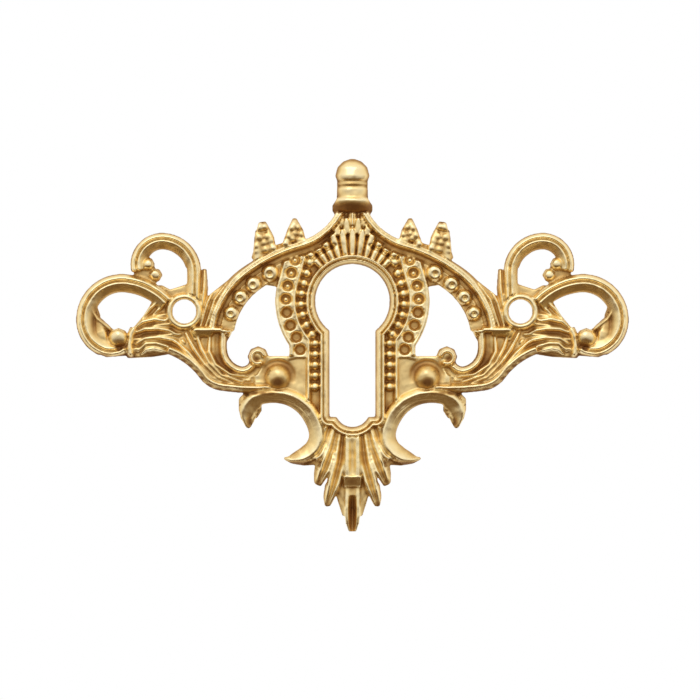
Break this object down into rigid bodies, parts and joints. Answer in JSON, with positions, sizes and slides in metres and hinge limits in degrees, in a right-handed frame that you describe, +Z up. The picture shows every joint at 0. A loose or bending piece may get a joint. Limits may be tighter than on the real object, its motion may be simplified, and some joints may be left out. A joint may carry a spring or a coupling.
{
  "type": "keyhole escutcheon",
  "caption": "Pierced cast-brass keyhole escutcheon with scrolled ears, a fan and finial over the keyhole, beaded mouldings and a leaf plume below; screws to a door or drawer front.",
  "frame": {"origin": "midway between the two screw holes, on the flat back", "axes": "+X to the viewer's right, +Y from the face into the door, +Z up the keyhole"},
  "size_m": [0.0756, 0.0034, 0.051],
  "materials": {
    "brass": "cast and polished, with darker recesses"
  },
  "bodies": {
    "root": {"escutcheon": "brass"}
  },
  "joints": []
}
